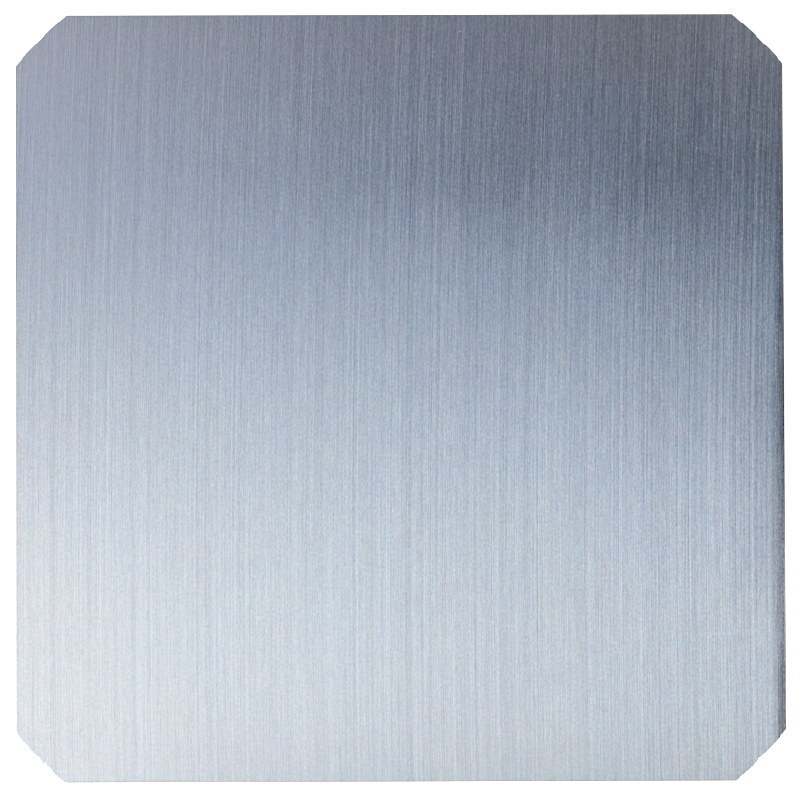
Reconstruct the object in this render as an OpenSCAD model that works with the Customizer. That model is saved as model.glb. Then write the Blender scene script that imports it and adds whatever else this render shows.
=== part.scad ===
// Pseudo-square silicon wafer, as sawn.
//
// A round single-crystal ingot is squared into a brick, and the brick is
// sliced into thin slabs.  The squaring cuts leave the straight edges, and
// what is left of the ingot's round surface is the arc at each corner, so
// every arc is centred on the slab's own centre.
//
// Frame: millimetres.  The slab lies flat, its underside is on Z = 0 and the
// origin is the middle of that underside.  X and Y run square to the straight
// edges, and the saw marks on both faces run along Y.

/* [Slab] */
// Distance between opposite straight edges, the same both ways
side = 125; // [120:0.25:130]
// Thickness of the slab as it leaves the saw
thickness = 0.2; // [0.12:0.01:0.4]

/* [Corners] */
// Diameter of the ground ingot, which sets the radius of the corner arcs
ingot_d = 165.6; // [150:0.1:170]

/* [Hidden] */

// Segments in a full turn of the ingot's circle
ingot_fn = 720;
// As-sawn silicon, a cool grey
silicon_grey = [0.66, 0.70, 0.76];

// Plan outline: the squared brick, cut off by the round ingot
module pseudo_square(s, d) {
    intersection() {
        square([s, s], center = true);
        circle(d = d, $fn = ingot_fn);
    }
}

module wafer() {
    color(silicon_grey)
        linear_extrude(height = thickness)
            pseudo_square(side, ingot_d);
}

wafer();
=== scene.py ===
import math

import bpy
import numpy as np
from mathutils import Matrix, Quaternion, Vector

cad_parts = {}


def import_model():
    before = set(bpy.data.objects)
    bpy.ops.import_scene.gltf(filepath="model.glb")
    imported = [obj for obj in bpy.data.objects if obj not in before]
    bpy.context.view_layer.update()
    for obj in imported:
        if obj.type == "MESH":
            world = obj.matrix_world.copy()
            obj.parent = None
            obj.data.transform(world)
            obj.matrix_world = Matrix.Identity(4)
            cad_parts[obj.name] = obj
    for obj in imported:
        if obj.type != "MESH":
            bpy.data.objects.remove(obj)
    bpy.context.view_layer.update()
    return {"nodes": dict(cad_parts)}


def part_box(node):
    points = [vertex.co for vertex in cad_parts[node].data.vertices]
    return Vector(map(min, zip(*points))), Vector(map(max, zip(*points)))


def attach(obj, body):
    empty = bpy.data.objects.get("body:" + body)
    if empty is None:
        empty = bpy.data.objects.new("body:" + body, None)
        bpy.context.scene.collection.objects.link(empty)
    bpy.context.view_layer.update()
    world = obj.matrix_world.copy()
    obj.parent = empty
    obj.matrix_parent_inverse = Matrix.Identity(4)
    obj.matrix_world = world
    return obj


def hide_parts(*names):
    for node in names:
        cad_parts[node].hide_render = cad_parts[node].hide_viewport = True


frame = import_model()
lo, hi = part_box("wafer")

# ---------------------------------------------------------------------------
# Sizes, all from the frame, in metres
# ---------------------------------------------------------------------------
A = (hi.x - lo.x) / 2            # half the side
T = hi.z - lo.z                  # thickness
_cad = np.array([v.co for v in frame["nodes"]["wafer"].data.vertices])
R = float(np.hypot(_cad[:, 0], _cad[:, 1]).max())   # radius of the corner arcs
C = math.sqrt(R * R - A * A)     # where an arc meets a straight edge
MM = 1e-3
UM = 1e-6

# The saw wire bows a little in the cut, so the marks are long shallow arcs:
# x = u + (y - BOW_Y)^2 / (2 BOW_R)
BOW_Y = -30 * MM
BOW_R = 2.02


# ---------------------------------------------------------------------------
# Repeatable smooth noise on a lattice, for the relief in the mesh
# ---------------------------------------------------------------------------
def lattice_noise(u, v, cell_u, cell_v, seed):
    """Smooth value noise from -1 to 1 with cells of cell_u by cell_v metres."""
    rng = np.random.RandomState(seed)
    nu = int(0.16 / cell_u) + 8
    nv = int(0.16 / cell_v) + 8
    grid = rng.uniform(-1, 1, (nu, nv))
    a = (u + 0.08) / cell_u + 2
    b = (v + 0.08) / cell_v + 2
    i = np.clip(np.floor(a).astype(int), 0, nu - 2)
    j = np.clip(np.floor(b).astype(int), 0, nv - 2)
    fa, fb = a - i, b - j
    fa = fa * fa * fa * (fa * (fa * 6 - 15) + 10)
    fb = fb * fb * fb * (fb * (fb * 6 - 15) + 10)
    return (grid[i, j] * (1 - fa) * (1 - fb) + grid[i + 1, j] * fa * (1 - fb)
            + grid[i, j + 1] * (1 - fa) * fb + grid[i + 1, j + 1] * fa * fb)


def smooth(x, a, b):
    t = np.clip((x - a) / (b - a), 0, 1)
    return t * t * (3 - 2 * t)


def unbowed(x, y):
    return x - (y - BOW_Y) ** 2 / (2 * BOW_R)


def sawn_depth(x, y, seed):
    """How far the sawn face lies below its own highest plane: waviness of a few
    micrometres in long bowed ribs, and a handful of single deeper lines."""
    u = unbowed(x, y)
    d = (
        1.6 * lattice_noise(u, y, 9.0 * MM, 90 * MM, seed + 1)
        + 1.1 * lattice_noise(u, y, 3.6 * MM, 55 * MM, seed + 2)
        + 0.75 * lattice_noise(u, y, 1.7 * MM, 34 * MM, seed + 3)
        + 0.35 * lattice_noise(u, y, 0.95 * MM, 22 * MM, seed + 4)
    )
    rng = np.random.RandomState(seed + 5)
    for at, deep, wide in zip(rng.uniform(-60, 60, 16), rng.uniform(0.5, 1.6, 16), rng.uniform(0.5, 0.9, 16)):
        fade = 0.6 + 0.4 * lattice_noise(u * 0, y, 50 * MM, 28 * MM, seed + int(at * 7) % 97)
        d = d + deep * fade * np.exp(-(((u - at * MM) / (wide * MM)) ** 2))
    return (d + 5.0) * UM * 0.42


def roll_off(x, y):
    """The wire enters at the +X edge and leaves that face rounded down; the rim
    beside the near, far and corner edges is very slightly rounded too."""
    entry = 26 * UM * (1 - smooth(A - x, -0.1 * MM, 2.1 * MM)) ** 1.6
    d = np.maximum(np.minimum(A - np.abs(y), R - np.hypot(x, y)), 0)
    return entry + 4 * UM * (1 - smooth(d, 0.0, 0.3 * MM))


# ---------------------------------------------------------------------------
# Outline: straight sawn edges, and corners ground in short shallow flats
# ---------------------------------------------------------------------------
# Each corner runs from the side edge (0) to the far or near edge (1); the second
# number is how far the outline stands out from the true arc there, in millimetres
FLATS = {
    (-1, 1): [(0.00, -0.09), (0.12, -0.07), (0.13, -0.05), (0.15, 0.08), (0.18, 0.03), (0.22, 0.06),
        (0.40, 0.03), (0.42, 0.02), (0.43, -0.07), (0.57, -0.08), (0.60, 0.06), (0.65, 0.03), (0.68, 0.06),
        (0.85, 0.03), (0.87, 0.01), (0.88, -0.08), (0.95, -0.08), (1.00, -0.14)],
    (1, 1): [(0.00, -0.02), (0.03, 0.10), (0.08, 0.05), (0.12, 0.22), (0.15, 0.16), (0.25, 0.20),
        (0.35, 0.15), (0.38, 0.02), (0.52, 0.05), (0.55, 0.17), (0.80, 0.11), (0.83, -0.02), (0.97, 0.02),
        (1.00, -0.12)],
    (-1, -1): [(0.00, -0.07), (0.02, -0.08), (0.03, 0.07), (0.05, 0.05), (0.08, 0.19), (0.12, 0.12),
        (0.15, 0.18), (0.20, 0.02), (0.27, 0.12), (0.30, 0.26), (0.33, 0.14), (0.35, 0.21), (0.47, 0.02),
        (0.55, 0.26), (0.60, -0.16), (0.63, 0.16), (0.67, -0.04), (0.72, 0.13), (0.78, 0.25), (0.92, 0.17),
        (0.95, 0.20), (0.98, 0.05), (1.00, 0.06)],
    (1, -1): [(0.00, -0.15), (0.10, -0.09), (0.12, -0.16), (0.13, 0.04), (0.15, 0.00), (0.32, 0.00),
        (0.35, -0.03), (0.38, 0.01), (0.40, -0.03), (0.43, 0.03), (0.45, -0.08), (0.55, -0.14), (0.57, -0.30),
        (0.58, -0.19), (0.60, 0.01), (0.63, -0.02), (0.67, 0.08), (0.70, 0.04), (0.77, 0.06), (0.83, -0.01),
        (0.87, 0.05), (0.88, -0.09), (0.95, 0.02), (1.00, 0.00)],
}


def edge_distance(x, y):
    """How far a point of the face lies in from the real outline."""
    lo_a, hi_a = math.atan2(C, A), math.atan2(A, C)
    ang = np.arctan2(np.abs(y), np.abs(x))
    s = np.clip((ang - lo_a) / (hi_a - lo_a), 0, 1)
    arc = np.full(x.shape, R)
    for (sx, sy), knots in FLATS.items():
        at, out = zip(*knots)
        here = (x * sx > 0) & (y * sy > 0)
        arc = np.where(here, R + np.interp(s, at, out) * MM, arc)
    return np.maximum(np.minimum(np.minimum(A - np.abs(x), A - np.abs(y)), arc - np.hypot(x, y)), 0)


def half_height(x):
    return np.minimum(A, np.sqrt(np.maximum(R * R - np.minimum(np.abs(x), A) ** 2, 0)))


def trim(x, sy):
    """How much the outline is drawn in, along Y, at the ends of the columns."""
    cut = 0.003 * MM * (1 + lattice_noise(x, x * 0 + sy * 0.01, 1.1 * MM, 50 * MM, 60 + sy))
    lo_a, hi_a = math.atan2(C, A), math.atan2(A, C)
    ang = np.arctan2(half_height(x), np.abs(x))
    s = (ang - lo_a) / (hi_a - lo_a)
    for (sx, s_y), knots in FLATS.items():
        if s_y != sy:
            continue
        at, out = zip(*knots)
        here = (np.sign(x) == sx) & (np.abs(x) > C * 1.0001)
        # a radial offset seen along Y at the same X
        cut = cut - here * np.interp(s, at, out) * MM / np.sin(ang)
    return np.maximum(cut, half_height(x) - A)


def columns():
    near = np.linspace(0, 1, 72)
    left = -A + (A - C) * near
    mid = np.linspace(-C, C, 300)
    cols = np.concatenate([left[:-1], mid, (-left[:-1])[::-1]])
    return np.sort(cols)


def rows():
    """Row places from -1 (near edge) to 1 (far edge), packed close at the rims."""
    rim = 1 - np.array([0.0, 0.08, 0.16, 0.24, 0.34, 0.6, 1.0]) * MM / A
    core = np.linspace(-rim[-1], rim[-1], 79)[1:-1]
    return np.concatenate([-rim, core, rim[::-1]])


BEVEL = 0.005 * MM               # the sawn arrises are barely broken

xs = columns()
ts = rows()
NX, NT = len(xs), len(ts)


def face_grid(inset, seed, top):
    """Vertex places of one face, [column, row]."""
    X = np.repeat(xs[:, None], NT, 1)
    lim_hi = half_height(xs) - trim(xs, 1) - inset
    lim_lo = half_height(xs) - trim(xs, -1) - inset
    Y = np.where(ts[None, :] >= 0, ts[None, :] * lim_hi[:, None], ts[None, :] * lim_lo[:, None])
    # ends of the outermost columns: the straight sawn edges along Y
    edge = 0.002 * MM * (1 + lattice_noise(Y[0] * 0, Y[0], 50 * MM, 1.3 * MM, 71))
    X[0] = -A + inset + edge
    edge = 0.002 * MM * (1 + lattice_noise(Y[-1] * 0, Y[-1], 50 * MM, 1.3 * MM, 73))
    X[-1] = A - inset - edge
    depth = sawn_depth(X, Y, seed) + roll_off(X, Y)
    Z = T - depth if top else depth
    return np.stack([X, Y, Z], -1)


def border(g):
    """The face's outline, anticlockwise seen from +Z."""
    return np.concatenate([g[:, 0], g[-1, 1:], g[-2::-1, -1], g[0, -2:0:-1]])


def build_wafer():
    top, bottom = face_grid(BEVEL, 100, True), face_grid(BEVEL, 300, False)
    rim_top, rim_bottom = border(top), border(bottom)
    out = border(face_grid(0.0, 100, True))
    n = len(out)
    upper, lower = out.copy(), out.copy()
    upper[:, 2] = rim_top[:, 2] - BEVEL
    lower[:, 2] = rim_bottom[:, 2] + BEVEL

    idx = np.arange(NX * NT).reshape(NX, NT)
    verts = [top.reshape(-1, 3), bottom.reshape(-1, 3), upper, lower]
    base = np.cumsum([0] + [len(v) for v in verts])
    q = np.stack([idx[:-1, :-1], idx[1:, :-1], idx[1:, 1:], idx[:-1, 1:]], -1).reshape(-1, 4)
    faces_top = q + base[0]
    faces_bottom = q[:, ::-1] + base[1]

    def ring_index(first):
        return np.concatenate([idx[:, 0], idx[-1, 1:], idx[-2::-1, -1], idx[0, -2:0:-1]]) + first

    rt, rb = ring_index(base[0]), ring_index(base[1])
    ru, rl = np.arange(n) + base[2], np.arange(n) + base[3]
    k = np.arange(n)
    k1 = (k + 1) % n

    def strip(high, low):
        return np.stack([low[k], low[k1], high[k1], high[k]], -1)

    faces_rim = np.concatenate([strip(rt, ru), strip(ru, rl), strip(rl, rb)])
    faces = np.concatenate([faces_top, faces_bottom, faces_rim])
    allv = np.concatenate(verts)

    me = bpy.data.meshes.new("wafer_slab")
    me.vertices.add(len(allv))
    me.vertices.foreach_set("co", allv.astype(np.float32).ravel())
    me.loops.add(len(faces) * 4)
    me.loops.foreach_set("vertex_index", faces.astype(np.int32).ravel())
    me.polygons.add(len(faces))
    me.polygons.foreach_set("loop_start", np.arange(0, len(faces) * 4, 4, dtype=np.int32))
    me.polygons.foreach_set("use_smooth", np.ones(len(faces), bool))
    me.update(calc_edges=True)

    # The faces and the rim meet at sharp arrises
    sharp = np.zeros(len(me.edges), bool)
    pairs = np.zeros(len(me.edges) * 2, np.int32)
    me.edges.foreach_get("vertices", pairs)
    pairs = pairs.reshape(-1, 2)
    ring = set()
    for loop in (rt, rb, ru, rl):
        ring |= {(min(p, q_), max(p, q_)) for p, q_ in zip(loop, np.roll(loop, -1))}
    code = {p * 10_000_000 + q_ for p, q_ in ring}
    key = np.minimum(pairs[:, 0], pairs[:, 1]).astype(np.int64) * 10_000_000 + np.maximum(pairs[:, 0], pairs[:, 1])
    sharp[np.isin(key, np.fromiter(code, np.int64))] = True
    me.attributes.new("sharp_edge", "BOOLEAN", "EDGE").data.foreach_set("value", sharp)

    # How far in from the outline each point lies, in millimetres, for the material
    away = edge_distance(allv[:, 0], allv[:, 1]) / MM
    away[base[2]:] = 0
    me.attributes.new("edge_mm", "FLOAT", "POINT").data.foreach_set("value", away.astype(np.float32))

    # Map: both faces share one plan projection, the rim is a thin ring round it
    plan = 0.97 / (2 * A)
    uv = np.zeros((len(allv), 2))
    uv[:, 0] = 0.5 + allv[:, 0] * plan
    uv[:, 1] = 0.5 + allv[:, 1] * plan
    corner_uv = uv[faces]                          # [face, 4, 2]
    centre_dir = out[:, :2] / np.linalg.norm(out[:, :2], axis=1)[:, None]
    push = 0.5 / 1024
    level = {"rt": 1.0, "ru": 3.0, "rl": 9.0, "rb": 11.0}
    ring_uv = {}
    for name in level:
        ring_uv[name] = 0.5 + out[:, :2] * plan + centre_dir * (level[name] * push)
    m = len(faces_top) + len(faces_bottom)
    for s, (hi_name, lo_name) in enumerate((("rt", "ru"), ("ru", "rl"), ("rl", "rb"))):
        rows_ = slice(m + s * n, m + (s + 1) * n)
        corner_uv[rows_, 0] = ring_uv[lo_name][k]
        corner_uv[rows_, 1] = ring_uv[lo_name][k1]
        corner_uv[rows_, 2] = ring_uv[hi_name][k1]
        corner_uv[rows_, 3] = ring_uv[hi_name][k]
    layer = me.uv_layers.new(name="OFBake")
    layer.uv.foreach_set("vector", corner_uv.astype(np.float32).ravel())
    me.validate()
    ob = bpy.data.objects.new("wafer_slab", me)
    bpy.context.scene.collection.objects.link(ob)
    return ob


# ---------------------------------------------------------------------------
# Node helpers
# ---------------------------------------------------------------------------
class Nodes:
    def __init__(self, tree):
        self.nt = tree
        tree.nodes.clear()

    def add(self, kind, **props):
        n = self.nt.nodes.new(kind)
        for key, value in props.items():
            setattr(n, key, value)
        return n

    def put(self, socket, value):
        if isinstance(value, bpy.types.NodeSocket):
            self.nt.links.new(value, socket)
        else:
            socket.default_value = value

    def math(self, op, *args, clamp=False):
        n = self.add("ShaderNodeMath", operation=op, use_clamp=clamp)
        for s, v in zip(n.inputs, args):
            self.put(s, v)
        return n.outputs[0]

    def ramp(self, value, a, b, out_a=0.0, out_b=1.0, kind="SMOOTHSTEP"):
        n = self.add("ShaderNodeMapRange", interpolation_type=kind, clamp=True) if kind == "LINEAR" \
            else self.add("ShaderNodeMapRange", interpolation_type=kind)
        for name, v in (("Value", value), ("From Min", a), ("From Max", b), ("To Min", out_a), ("To Max", out_b)):
            self.put(n.inputs[name], v)
        return n.outputs[0]

    def combine(self, x, y, z):
        n = self.add("ShaderNodeCombineXYZ")
        for s, v in zip(n.inputs, (x, y, z)):
            self.put(s, v)
        return n.outputs[0]

    def noise(self, vector, scale=1.0, detail=0.0, rough=0.5, dims="3D"):
        n = self.add("ShaderNodeTexNoise", noise_dimensions=dims)
        self.put(n.inputs["Vector"], vector)
        n.inputs["Scale"].default_value = scale
        n.inputs["Detail"].default_value = detail
        n.inputs["Roughness"].default_value = rough
        return n.outputs["Fac"]


# ---------------------------------------------------------------------------
# As-sawn silicon
# ---------------------------------------------------------------------------
def silicon_material():
    mat = bpy.data.materials.new("as_sawn_silicon")
    mat.use_nodes = True
    g = Nodes(mat.node_tree)
    coord = g.add("ShaderNodeTexCoord").outputs["Object"]
    sep = g.add("ShaderNodeSeparateXYZ")
    g.put(sep.inputs[0], coord)
    x, y, z = sep.outputs

    # u follows the bowed marks
    dy = g.math("SUBTRACT", y, BOW_Y)
    bow = g.math("MULTIPLY", g.math("MULTIPLY", dy, dy), 1 / (2 * BOW_R))
    u = g.math("SUBTRACT", x, bow)

    def marks(cell_u, cell_v, shift, detail=0.0, rough=0.5):
        v = g.combine(g.math("MULTIPLY", u, 1 / cell_u), g.math("MULTIPLY", y, 1 / cell_v), shift)
        return g.math("SUBTRACT", g.noise(v, detail=detail, rough=rough), 0.5)

    def long_marks(cell_u, shift, life):
        """Lines that run right across, each giving way to another here and there."""
        gate = g.ramp(marks(cell_u * 1.6, life, shift + 40.5), -0.07, 0.07, 0.0, 1.0)
        one, two = marks(cell_u, 900 * MM, shift), marks(cell_u, 900 * MM, shift + 20.3)
        return g.math("ADD", g.math("MULTIPLY", one, gate),
                      g.math("MULTIPLY", two, g.math("SUBTRACT", 1.0, gate)))

    threads = long_marks(0.19 * MM, 503.1, 42 * MM)
    lines = long_marks(0.36 * MM, 103.1, 55 * MM)
    long_mid = long_marks(0.9 * MM, 205.3, 75 * MM)
    broad = long_marks(2.2 * MM, 77.7, 70 * MM)
    wide = marks(2.4 * MM, 7 * MM, 9.9)
    dashes = marks(0.24 * MM, 2.0 * MM, 13.4)
    strokes = marks(0.24 * MM, 6.0 * MM, 44.2)
    grain = marks(0.24 * MM, 0.48 * MM, 17.8)
    pits = marks(0.16 * MM, 0.22 * MM, 31.6)

    def total(*pairs):
        s = None
        for value, w in pairs:
            t = g.math("MULTIPLY", value, w)
            s = t if s is None else g.math("ADD", s, t)
        return s

    # distance in from the outline, in millimetres, for the rim of the face
    edge = g.add("ShaderNodeAttribute", attribute_type="GEOMETRY", attribute_name="edge_mm")
    d_edge = edge.outputs["Fac"]
    rim = g.ramp(d_edge, 0.02, 0.24, 1.0, 0.0)
    rim_wide = g.ramp(d_edge, 0.1, 1.0, 1.0, 0.0)
    rim_warm = g.math("MULTIPLY", g.ramp(d_edge, 0.10, 0.55, 1.0, 0.0), g.ramp(x, 25 * MM, 60 * MM, 0.25, 1.0))
    # the rim by the far right corner is browner, and for further in
    brown = g.math("MULTIPLY", g.ramp(d_edge, 0.35, 1.3, 1.0, 0.0),
                   g.math("MULTIPLY", g.ramp(y, 22 * MM, 34 * MM), g.ramp(x, 30 * MM, 55 * MM)))

    # on the ground corners it is hardly warm, and darker at the two far ones
    out_from = g.math("SQRT", g.math("ADD", g.math("MULTIPLY", x, x), g.math("MULTIPLY", y, y)))
    on_arc = g.ramp(out_from, R - 1.3 * MM, R - 0.7 * MM)
    rim_warm = g.math("MULTIPLY", rim_warm, g.math("SUBTRACT", 1.0, g.math("MULTIPLY", on_arc, 0.7)))
    brown = g.math("MULTIPLY", brown, g.math("SUBTRACT", 1.0, g.math("MULTIPLY", on_arc, 0.75)))

    # it is darkest on the near edge and the far part of the left one, and gone by the near left corner
    left_edge, near_edge = g.ramp(x, -60 * MM, -61.6 * MM), g.ramp(y, -60 * MM, -61.6 * MM)
    rim_dark = g.ramp(g.math("ADD", x, y), -90 * MM, -50 * MM, 0.0, 0.09)
    for side, value in ((left_edge, g.ramp(y, -12 * MM, 25 * MM, -0.04, 0.13)),
                        (near_edge, g.ramp(x, -32 * MM, -10 * MM, 0.0, 0.16))):
        rim_dark = g.math("ADD", rim_dark, g.math("MULTIPLY", side, g.math("SUBTRACT", value, rim_dark)))
    rim_dark = g.math("ADD", rim_dark, g.math("MULTIPLY", on_arc, g.ramp(y, 0.0, 20 * MM, 0.0, 0.045)))
    near = g.math("MULTIPLY", g.ramp(y, -62 * MM, -50 * MM, 1.0, 0.0), g.ramp(x, -46 * MM, -26 * MM))
    # bluer strips just in from the near and far edges
    cool_rim = g.math("ADD", g.ramp(y, 58 * MM, 61.2 * MM),
                      g.math("MULTIPLY", g.ramp(y, -60.3 * MM, -61.3 * MM), g.ramp(d_edge, 0.25, 0.55)))

    # wire-entry band along +X, fading towards the +Y end
    r = g.math("SUBTRACT", A, x)
    wander = g.math("MULTIPLY", marks(3.0 * MM, 9 * MM, 41.0), 0.8 * MM)
    band_x = g.ramp(g.math("ADD", r, wander), 0.2 * MM, 2.1 * MM, 1.0, 0.0)
    band_y = g.ramp(y, 14 * MM, 44 * MM, 1.0, 0.12)
    band = g.math("MULTIPLY", band_x, band_y)
    # how much it darkens: evenly less going in, down to a faint step at 2 mm or so; nearer the viewer it is shallower
    # and flatter, with one sharp dark line in it. The band is really rougher, and the dimmer reflection this gives is
    # painted into the colour as shade
    inward = g.math("SUBTRACT", g.math("ADD", r, wander), g.ramp(y, -10 * MM, -26 * MM, 0.0, 0.12 * MM))
    slope_in = g.math("SUBTRACT", 0.64, g.math("MULTIPLY", inward, 0.38 / MM))
    slope_in = g.math("MINIMUM", slope_in, g.ramp(y, -12 * MM, -26 * MM, 0.70, 0.37))
    step = g.math("MULTIPLY", g.ramp(r, 1.8 * MM, 2.9 * MM, 0.14, 0.0), g.ramp(y, 0.0, 14 * MM, 1.0, 0.5))
    rough_band_painted_shade = g.math("MULTIPLY", g.math("MAXIMUM", slope_in, step), band_y)
    line = g.ramp(g.math("ABSOLUTE", g.math("SUBTRACT", r, 0.56 * MM)), 0.03 * MM, 0.15 * MM, 1.0, 0.0)
    line = g.math("MULTIPLY", line, g.ramp(y, -28 * MM, -48 * MM, 0.0, 0.34))
    # a fainter, broader darkening beside it, about half way along the edge
    skirt = g.math("MULTIPLY", g.ramp(r, 0.0, 14 * MM, 1.0, 0.0),
                   g.ramp(g.math("ABSOLUTE", g.math("ADD", y, 13 * MM)), 12 * MM, 26 * MM, 1.0, 0.0))
    # and a bluer strip just inside it
    strip = g.math("MULTIPLY", g.math("MULTIPLY", g.ramp(r, 0.5 * MM, 1.3 * MM), g.ramp(r, 1.9 * MM, 4.5 * MM, 1.0, 0.0)),
                   g.ramp(g.math("ABSOLUTE", g.math("SUBTRACT", y, 8 * MM)), 14 * MM, 24 * MM, 1.0, 0.0))

    # Slow changes over the whole face, as short polynomials of X and Y from -1 to 1
    px, py = g.math("MULTIPLY", x, 1 / A), g.math("MULTIPLY", y, 1 / A)
    powers = {(1, 0): px, (0, 1): py}

    def power(p, q):
        if (p, q) not in powers:
            powers[p, q] = g.math("MULTIPLY", power(p - 1, q), px) if p else g.math("MULTIPLY", power(p, q - 1), py)
        return powers[p, q]

    def drift(terms):
        return total(*((power(p, q), k) for (p, q), k in terms.items()))

    def window(value, a, b, c, d):
        return g.math("MULTIPLY", g.ramp(value, a * MM, b * MM), g.ramp(value, c * MM, d * MM, 1.0, 0.0))

    # a dark band across the face some way in from the far edge, in longer and shorter
    # pieces, and a few faint clouds lighter and darker than the rest
    across = window(y, 27.0, 35.5, 37.0, 43.5)
    strength = total((window(x, -40, -28, 19, 24), -0.04), (window(x, -1.0, 1.5, 20.5, 22.5), -0.027),
                     (g.ramp(x, 20.5 * MM, 22.5 * MM), -0.013), (window(x, 33.5, 36.0, 51.0, 54.0), -0.065))
    patches = g.math("MULTIPLY", across, strength)
    for amount, (xa, xb, xc, xd), (ya, yb, yc, yd) in (
            (0.035, (20, 23, 33, 36), (14, 24, 42, 50)), (0.017, (-30, 0, 60, 80), (10, 18, 23, 29)),
            (-0.036, (28, 42, 66, 80), (-16, -4, 1, 13)), (-0.045, (33, 37, 50, 55), (50, 55, 66, 70)),
            (0.012, (-42, -34, -20, -15), (-12, 4, 66, 70)), (0.025, (-5, 2, 34, 42), (42, 45, 50, 56)),
            (0.03, (50, 53, 66, 70), (18, 26, 44, 50))):
        patches = g.math("ADD", patches, g.math("MULTIPLY", g.math("MULTIPLY", window(x, xa, xb, xc, xd),
                                                                   window(y, ya, yb, yc, yd)), amount))

    # the marks show more towards the wire-entry side and the far edge; the slow rise towards the far right follows the
    # dimmer light there, so this contrast is painted shading
    mark_contrast_from_light = drift({(1, 0): 0.335, (0, 1): 0.36, (1, 1): 0.18, (2, 0): 0.02, (0, 2): -0.215, (0, 3): -0.11,
                  (1, 2): 0.065, (2, 1): -0.26, (3, 0): -0.03})
    mark_contrast_from_light = g.math("EXPONENT", g.math("ADD", mark_contrast_from_light, 0.235))
    hue_show = g.math("MULTIPLY", g.math("ADD", g.math("MULTIPLY", mark_contrast_from_light, 0.3), 0.63),
                      g.math("ADD", drift({(1, 0): 0.22, (0, 1): -0.07, (2, 0): -0.03, (0, 2): -0.22}), 0.96))
    mark_contrast_from_light = g.math("ADD", mark_contrast_from_light, total((band, 1.5), (skirt, 0.3), (g.math("MULTIPLY", across, strength), -1.8)))

    # --- height: all in micrometres, turned to metres by the bump's distance
    height = total((threads, 3.4), (lines, 6.0), (long_mid, 2.0), (wide, 2.0),
                   (dashes, 3.0), (strokes, 3.0), (grain, 2.2), (pits, 0.8))
    bump = g.add("ShaderNodeBump")
    bump.inputs["Strength"].default_value = 1.0
    bump.inputs["Distance"].default_value = 1.0 * UM
    g.put(bump.inputs["Height"], height)

    # --- colour: a cool grey with light and dark threads
    tone = total((threads, 0.31), (lines, 0.25), (long_mid, 0.031), (broad, 0.020), (wide, 0.015),
                 (dashes, 0.145), (strokes, 0.115), (grain, 0.28), (pits, 0.06))
    tone = g.math("MULTIPLY", tone, mark_contrast_from_light)
    drop = g.math("MULTIPLY", g.math("MULTIPLY", g.math("SUBTRACT", 1.0, rough_band_painted_shade), g.math("SUBTRACT", 1.0, line)),
                  g.math("SUBTRACT", 1.009, total((rim, rim_dark), (rim_wide, 0.02), (skirt, 0.13), (near, 0.04))))
    corner = g.ramp(g.math("ADD", px, py), 1.15, 1.65)
    near_left = g.ramp(g.math("ADD", px, py), -1.25, -1.6)
    near_right = g.ramp(g.math("SUBTRACT", px, py), 1.25, 1.6)
    drop = g.math("MULTIPLY", drop, g.math("ADD", 1.0, patches))
    # within the entry band: a paler fringe on the arris, a dark line inside it, a darker near end
    fringe = total((g.math("MULTIPLY", g.ramp(r, 0.28 * MM, 0.46 * MM, 1.0, 0.0), window(y, -37, -31, -5, 0)), 0.27),
                   (g.math("MULTIPLY", window(r, 0.18, 0.34, 0.68, 0.9), window(y, -9, -5, 4, 8)), -0.19),
                   (g.math("MULTIPLY", window(r, 0.22, 0.38, 1.0, 1.7), g.ramp(y, -38 * MM, -46 * MM)), -0.19))
    drop = g.math("MULTIPLY", drop, g.math("ADD", 1.0, fringe))
    lift = g.math("MULTIPLY", g.ramp(x, 47 * MM, 56 * MM), g.ramp(y, 37 * MM, 44 * MM, 0.0, 0.07))
    # a painted highlight along the arris of the near edge, left of centre, with a darker line just inside it
    arris_highlight_and_line = g.math("MULTIPLY", total((g.ramp(d_edge, 0.05, 0.12, 1.0, 0.0), 0.08),
                                   (g.ramp(g.math("ABSOLUTE", g.math("SUBTRACT", d_edge, 0.21)), 0.04, 0.12, 1.0, 0.0), -0.14)),
                 g.math("MULTIPLY", near_edge, g.math("MULTIPLY", g.ramp(x, -56 * MM, -51 * MM), g.ramp(x, -37 * MM, -29 * MM, 1.0, 0.0))))
    drop = g.math("MULTIPLY", drop, g.math("ADD", 1.0, g.math("ADD", lift, arris_highlight_and_line)))
    # faint drifts of hue, a millimetre or so across, and broader ones
    cool = g.math("ADD", marks(1.35 * MM, 2.6 * MM, 51.0), g.math("MULTIPLY", marks(9 * MM, 14 * MM, 52.3), 0.6))
    cool = g.math("MULTIPLY", cool, g.math("MULTIPLY", hue_show, 1.15))
    green = g.math("ADD", marks(1.3 * MM, 2.4 * MM, 63.0), g.math("MULTIPLY", marks(11 * MM, 13 * MM, 64.7), 0.4))
    green = g.math("MULTIPLY", green, g.math("MULTIPLY", hue_show, 1.35))
    red_ch = g.math("ADD", 1.0, g.math("ADD", g.math("MULTIPLY", cool, -0.064), g.math("MULTIPLY", green, -0.027)))
    green_ch = g.math("ADD", 1.0, g.math("MULTIPLY", green, 0.051))
    blue_ch = g.math("ADD", 1.0, g.math("ADD", g.math("MULTIPLY", cool, 0.064), g.math("MULTIPLY", green, -0.027)))
    red_ch = g.math("ADD", red_ch, total((g.math("MULTIPLY", band, g.ramp(y, -8 * MM, -22 * MM, -0.03, 0.015)), 1.0),
                                         (strip, -0.045), (rim_warm, 0.08), (brown, 0.05), (corner, 0.018),
                                         (near_right, -0.018), (cool_rim, -0.028)))
    blue_ch = g.math("ADD", blue_ch, total((band, 0.045), (rim_warm, -0.09), (brown, -0.055), (corner, -0.022),
                                           (near_left, -0.010), (cool_rim, 0.008)))
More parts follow.
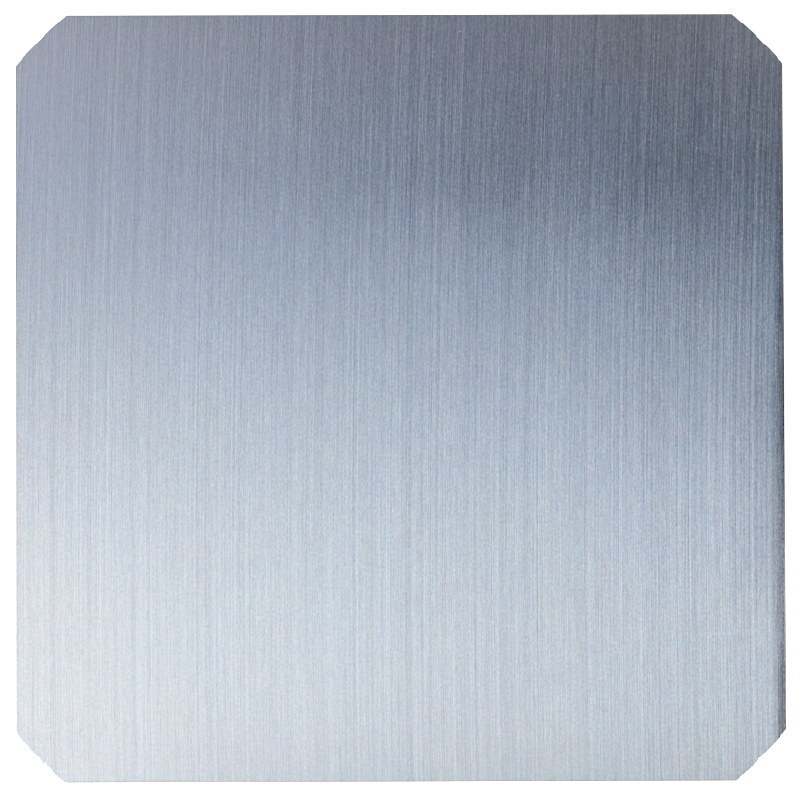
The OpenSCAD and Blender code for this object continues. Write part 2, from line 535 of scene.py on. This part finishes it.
    # and the slow drift of tint
    red_ch = g.math("ADD", red_ch, drift({(0, 1): 0.015, (0, 2): 0.007, (0, 3): -0.018, (1, 1): -0.010, (2, 1): -0.017,
                                          (1, 2): 0.008}))
    blue_ch = g.math("ADD", blue_ch, drift({(1, 0): 0.017, (0, 1): 0.007, (0, 2): 0.009, (0, 3): -0.011, (1, 1): -0.007,
                                            (2, 0): 0.022, (2, 1): -0.016, (1, 2): -0.042, (2, 2): -0.030}))
    # a lighter mark is also a little less blue, a darker one a little more
    lean = g.math("MULTIPLY", mark_contrast_from_light, 0.05)

    def channel(base, drift, sign):
        t = tone if not sign else g.math("MULTIPLY", tone, g.math("ADD", 1.0, g.math("MULTIPLY", lean, sign)))
        return g.math("MULTIPLY", g.math("MULTIPLY", g.math("ADD", t, 1.0), drift), g.math("MULTIPLY", drop, base))

    # a very few bright specks at the dark end
    cells = g.add("ShaderNodeTexVoronoi", voronoi_dimensions="2D")
    g.put(cells.inputs["Vector"], g.combine(g.math("MULTIPLY", x, 1 / (5.5 * MM)), g.math("MULTIPLY", y, 1 / (5.5 * MM)), 0.0))
    cells.inputs["Scale"].default_value = 1.0
    pick = g.add("ShaderNodeSeparateColor")
    g.put(pick.inputs[0], cells.outputs["Color"])
    speck = g.math("MULTIPLY", g.ramp(cells.outputs["Distance"], 0.012, 0.030, 1.0, 0.0), g.ramp(pick.outputs[0], 0.62, 0.66))
    speck = g.math("MULTIPLY", speck, g.ramp(g.math("ADD", px, py), 0.7, 1.1))
    drop = g.math("ADD", drop, g.math("MULTIPLY", speck, 0.55))

    shade = g.combine(channel(0.370, red_ch, 1.0), channel(0.387, green_ch, 0.0), channel(0.434, blue_ch, -1.1))

    # --- roughness: threads and grain, duller at the entry band and the rim
    rough = total((threads, 0.025), (lines, 0.028), (dashes, 0.02),
                  (strokes, 0.02), (grain, 0.03), (pits, 0.01))
    rough = g.math("ADD", rough, total((band, 0.04), (rim, 0.05)))
    rough = g.math("ADD", rough, 0.247)

    bsdf = g.add("ShaderNodeBsdfPrincipled")
    bsdf.inputs["Metallic"].default_value = 1.0
    bsdf.inputs["Anisotropic"].default_value = 0.75
    g.put(bsdf.inputs["Base Color"], shade)
    g.put(bsdf.inputs["Roughness"], rough)
    g.put(bsdf.inputs["Normal"], bump.outputs["Normal"])
    tangent = g.add("ShaderNodeTangent", direction_type="UV_MAP", uv_map="OFBake")
    g.put(bsdf.inputs["Tangent"], tangent.outputs[0])
    out = g.add("ShaderNodeOutputMaterial")
    g.put(out.inputs["Surface"], bsdf.outputs[0])
    return mat


# ---------------------------------------------------------------------------
# Stage: pale floor, soft overhead light
# ---------------------------------------------------------------------------
def floor():
    me = bpy.data.meshes.new("floor")
    s = 12.0
    me.from_pydata([(-s, -s, 0), (s, -s, 0), (s, s, 0), (-s, s, 0)], [], [(0, 1, 2, 3)])
    ob = bpy.data.objects.new("floor", me)
    ob.location.z = -2 * UM
    bpy.context.scene.collection.objects.link(ob)
    mat = bpy.data.materials.new("pale_floor")
    mat.use_nodes = True
    g = Nodes(mat.node_tree)
    bsdf = g.add("ShaderNodeBsdfPrincipled")
    bsdf.inputs["Base Color"].default_value = (0.86, 0.86, 0.86, 1)
    bsdf.inputs["Roughness"].default_value = 1.0
    bsdf.inputs["Specular IOR Level"].default_value = 0.0
    bsdf.inputs["Emission Color"].default_value = (1, 1, 1, 1)
    bsdf.inputs["Emission Strength"].default_value = 0.55
    out = g.add("ShaderNodeOutputMaterial")
    g.put(out.inputs["Surface"], bsdf.outputs[0])
    ob.data.materials.append(mat)
    return ob


PANEL_Z = 0.35


def panel():
    """An overhead diffuser: dim and cool over the far right, brightest over the
    near left, easing off again right at the near end."""
    me = bpy.data.meshes.new("overhead_diffuser")
    s = 0.45
    me.from_pydata([(-s, -s, 0), (-s, s, 0), (s, s, 0), (s, -s, 0)], [], [(0, 1, 2, 3)])
    ob = bpy.data.objects.new("overhead_diffuser", me)
    ob.location = (0, 0, PANEL_Z)
    bpy.context.scene.collection.objects.link(ob)
    ob.visible_camera = False
    ob.visible_shadow = False
    mat = bpy.data.materials.new("diffuser_glow")
    mat.use_nodes = True
    g = Nodes(mat.node_tree)
    coord = g.add("ShaderNodeTexCoord").outputs["Object"]
    sep = g.add("ShaderNodeSeparateXYZ")
    g.put(sep.inputs[0], coord)
    x, y, _ = sep.outputs

    def slope(ky, kx, at, width):
        """0 to 1 as ky*y + kx*x falls from at to at - width."""
        across = g.math("ADD", g.math("MULTIPLY", y, ky), g.math("MULTIPLY", x, kx))
        return g.ramp(across, at, at - width, 0.0, 1.0)

    fall = g.math("SUBTRACT", 1.0, g.math("MULTIPLY", slope(1.0, -0.3161, 0.0505, 0.2396), 0.7039))
    near = g.math("MULTIPLY", slope(1.0, 0.4342, 0.0794, 0.0183), fall)
    left = g.math("MULTIPLY", slope(0.1426, 1.0, -0.0412, 0.0687), fall)
    wide = g.math("MULTIPLY", slope(1.0, 0.0209, 0.0753, 0.1412), fall)
    far = g.math("SUBTRACT", 1.0, slope(1.0, -0.0095, 0.0896, 0.0100))

    glow = None
    for amount, colour in ((1.0, (0.0, 0.055, 0.138)), (near, (0.623, 0.792, 0.951)),
                           (left, (0.711, 0.456, 0.203)), (wide, (1.656, 1.546, 1.195)),
                           (far, (0.378, 0.330, 0.311))):
        part = g.add("ShaderNodeVectorMath", operation="SCALE")
        part.inputs[0].default_value = colour
        g.put(part.inputs["Scale"], amount)
        if glow is None:
            glow = part.outputs[0]
        else:
            both = g.add("ShaderNodeVectorMath", operation="ADD")
            g.put(both.inputs[0], glow)
            g.put(both.inputs[1], part.outputs[0])
            glow = both.outputs[0]
    em = g.add("ShaderNodeEmission")
    g.put(em.inputs["Color"], glow)
    em.inputs["Strength"].default_value = 1.0
    out = g.add("ShaderNodeOutputMaterial")
    g.put(out.inputs["Surface"], em.outputs[0])
    ob.data.materials.append(mat)
    return ob


def world():
    w = bpy.data.worlds.new("studio")
    bpy.context.scene.world = w
    w.use_nodes = True
    g = Nodes(w.node_tree)
    bg = g.add("ShaderNodeBackground")
    bg.inputs["Color"].default_value = (1, 1, 1, 1)
    bg.inputs["Strength"].default_value = 1.0
    out = g.add("ShaderNodeOutputWorld")
    g.put(out.inputs["Surface"], bg.outputs[0])


def camera():
    cam = bpy.data.cameras.new("camera")
    ob = bpy.data.objects.new("camera", cam)
    bpy.context.scene.collection.objects.link(ob)
    cam.sensor_width = 36.0
    f_px = 9543.2
    cam.lens = f_px / 800 * 36.0
    cam.clip_start, cam.clip_end = 0.05, 60.0
    ob.location = (CAM_POS[0], CAM_POS[1], CAM_POS[2])
    ob.rotation_mode = "QUATERNION"
    w = Vector(CAM_ROT)
    ob.rotation_quaternion = Quaternion(w.normalized(), w.length)
    bpy.context.scene.camera = ob
    return ob


CAM_POS = (-0.01935, -0.09552, 1.55)
CAM_ROT = (math.radians(3.52968), math.radians(-0.70700), math.radians(-0.17513))

camera()
wafer = build_wafer()
wafer.data.materials.append(silicon_material())
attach(wafer, "root")
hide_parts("wafer")
floor()
panel()
world()

scene = bpy.context.scene
scene.view_settings.view_transform = "Standard"
scene.view_settings.look = "None"
scene.cycles.use_denoising = True
scene.cycles.filter_width = 1.0
